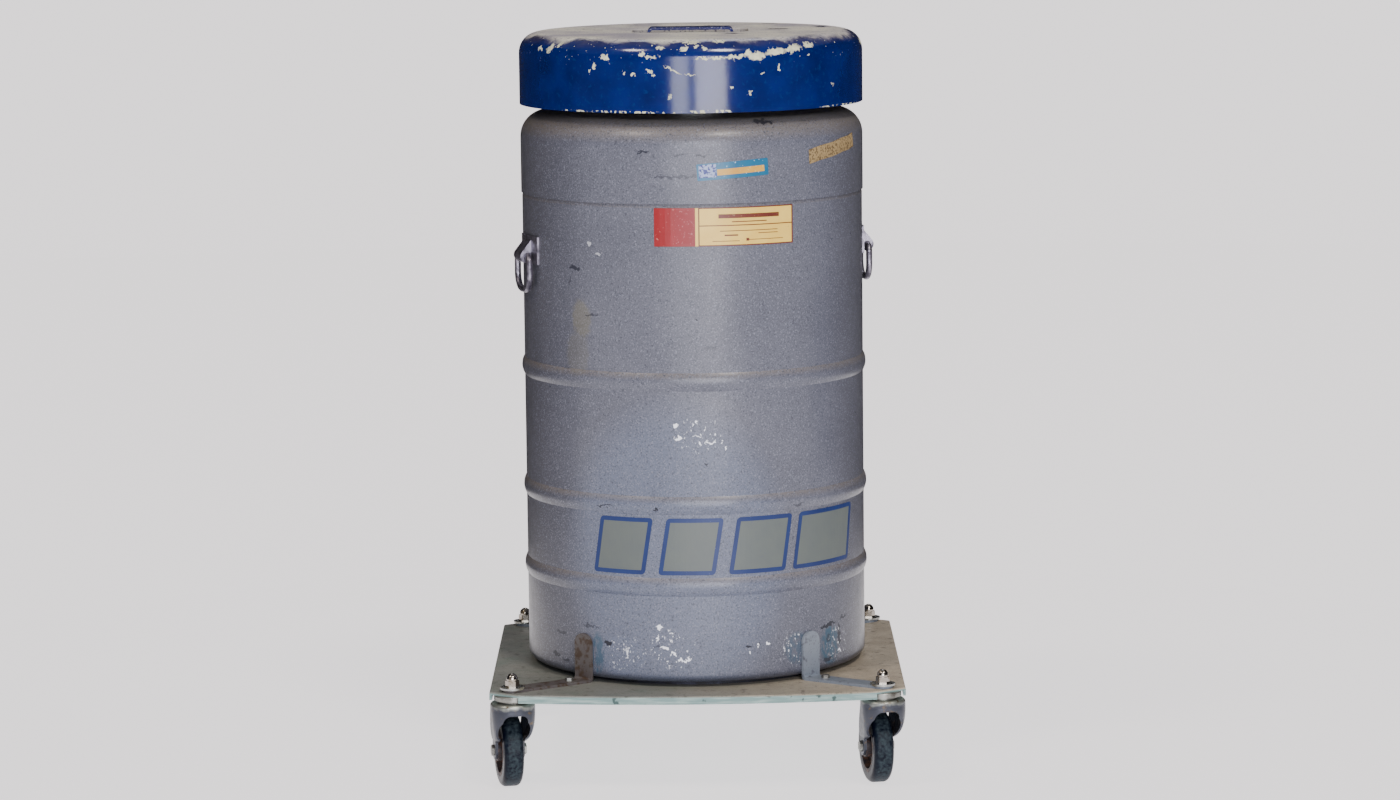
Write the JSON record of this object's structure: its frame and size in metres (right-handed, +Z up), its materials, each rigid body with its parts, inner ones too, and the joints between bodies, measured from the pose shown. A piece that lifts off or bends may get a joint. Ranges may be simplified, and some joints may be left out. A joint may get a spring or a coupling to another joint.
{
  "type": "cell freezing container",
  "caption": "Surplus 40-litre liquid-nitrogen cell freezing container: grey beaded aluminium drum, chipped blue lid, swing handles, on a four-caster roller base",
  "frame": {"origin": "on the floor, on the vessel's axis", "axes": "+Z up, the vessel's front faces -Y, +X to its right"},
  "size_m": [0.4555, 0.4999, 0.814],
  "materials": {
    "vessel_paint": "grey hammered enamel on aluminium, scuffed",
    "lid_paint": "deep blue gloss enamel, chipped to a cream undercoat",
    "deck_metal": "worn grey-beige paint on steel sheet",
    "zinc_steel": "dull zinc plate, dirty",
    "bright_nut": "bright plated steel",
    "bare_aluminium": "satin, unpainted",
    "foil_wrap": "crinkled foil and paper",
    "glass_fibre": "glass-fibre resin",
    "black_cap": "moulded rubber",
    "foam": "rigid foam",
    "wheel_core": "moulded core, dirty",
    "black_rubber": "worn solid rubber"
  },
  "bodies": {
    "body": {"body_shell": "vessel_paint", "top_head": "vessel_paint", "foot_ring": "bare_aluminium", "flask_lower_half": "bare_aluminium", "flask_upper_half": "bare_aluminium", "insulation_wrap": "foil_wrap", "neck_tube": "glass_fibre", "neck_collar": "bare_aluminium", "vacuum_port": "bare_aluminium", "vacuum_port_cap": "black_cap", "handle_bracket_left": "zinc_steel", "handle_bracket_right": "zinc_steel", "deck": "deck_metal", "clip_screws": "zinc_steel", "kingpin_washers": "zinc_steel", "kingpin_cap_nuts": "bright_nut", "clip_strap_front_left": "deck_metal", "caster_race_front_left": "zinc_steel", "clip_strap_front_right": "deck_metal", "caster_race_front_right": "zinc_steel", "clip_strap_rear_left": "deck_metal", "caster_race_rear_left": "zinc_steel", "clip_strap_rear_right": "deck_metal", "caster_race_rear_right": "zinc_steel"},
    "lid": {"lid_shell": "lid_paint", "lid_handle": "lid_paint", "lid_handle_rivets": "bare_aluminium", "plug_plate": "bare_aluminium", "neck_plug": "foam", "plug_screw": "zinc_steel"},
    "bail_left": {"handle_bail_left": "zinc_steel"},
    "bail_right": {"handle_bail_right": "zinc_steel"},
    "swivel_front_left": {"caster_ball_cage_front_left": "zinc_steel", "caster_fork_front_left": "zinc_steel", "caster_axle_front_left": "zinc_steel"},
    "wheel_front_left": {"wheel_core_front_left": "wheel_core", "tyre_front_left": "black_rubber"},
    "swivel_front_right": {"caster_ball_cage_front_right": "zinc_steel", "caster_fork_front_right": "zinc_steel", "caster_axle_front_right": "zinc_steel"},
    "wheel_front_right": {"wheel_core_front_right": "wheel_core", "tyre_front_right": "black_rubber"},
    "swivel_rear_left": {"caster_ball_cage_rear_left": "zinc_steel", "caster_fork_rear_left": "zinc_steel", "caster_axle_rear_left": "zinc_steel"},
    "wheel_rear_left": {"wheel_core_rear_left": "wheel_core", "tyre_rear_left": "black_rubber"},
    "swivel_rear_right": {"caster_ball_cage_rear_right": "zinc_steel", "caster_fork_rear_right": "zinc_steel", "caster_axle_rear_right": "zinc_steel"},
    "wheel_rear_right": {"wheel_core_rear_right": "wheel_core", "tyre_rear_right": "black_rubber"}
  },
  "joints": [
    {"name": "lid_lift", "type": "slide", "parent": "body", "child": "lid", "axis": [0, 0, 1], "range_m": [0, 0.25]},
    {"name": "handle_swing_left", "type": "hinge", "parent": "body", "child": "bail_left", "pos_m": [-0.18546, -0.06026, 0.569], "axis": [-0.309, 0.9511, 0], "range_deg": [0, 140]},
    {"name": "handle_swing_right", "type": "hinge", "parent": "body", "child": "bail_right", "pos_m": [0.19204, 0.03386, 0.569], "axis": [0.1736, -0.9848, 0], "range_deg": [0, 140]},
    {"name": "caster_swivel_front_left", "type": "hinge", "parent": "body", "child": "swivel_front_left", "pos_m": [-0.2, -0.196, 0], "axis": [0, 0, 1], "continuous": true},
    {"name": "wheel_spin_front_left", "type": "hinge", "parent": "swivel_front_left", "child": "wheel_front_left", "pos_m": [-0.20624, -0.16666, 0.04], "axis": [0.9781, 0.2079, 0], "continuous": true},
    {"name": "caster_swivel_front_right", "type": "hinge", "parent": "body", "child": "swivel_front_right", "pos_m": [0.2, -0.196, 0], "axis": [0, 0, 1], "continuous": true},
    {"name": "wheel_spin_front_right", "type": "hinge", "parent": "swivel_front_right", "child": "wheel_front_right", "pos_m": [0.19376, -0.16666, 0.04], "axis": [0.9781, 0.2079, 0], "continuous": true},
    {"name": "caster_swivel_rear_left", "type": "hinge", "parent": "body", "child": "swivel_rear_left", "pos_m": [-0.2, 0.196, 0], "axis": [0, 0, 1], "continuous": true},
    {"name": "wheel_spin_rear_left", "type": "hinge", "parent": "swivel_rear_left", "child": "wheel_rear_left", "pos_m": [-0.20927, 0.22453, 0.04], "axis": [0.9511, 0.309, 0], "continuous": true},
    {"name": "caster_swivel_rear_right", "type": "hinge", "parent": "body", "child": "swivel_rear_right", "pos_m": [0.2, 0.196, 0], "axis": [0, 0, 1], "continuous": true},
    {"name": "wheel_spin_rear_right", "type": "hinge", "parent": "swivel_rear_right", "child": "wheel_rear_right", "pos_m": [0.20521, 0.22554, 0.04], "axis": [0.9848, -0.1736, 0], "continuous": true}
  ]
}
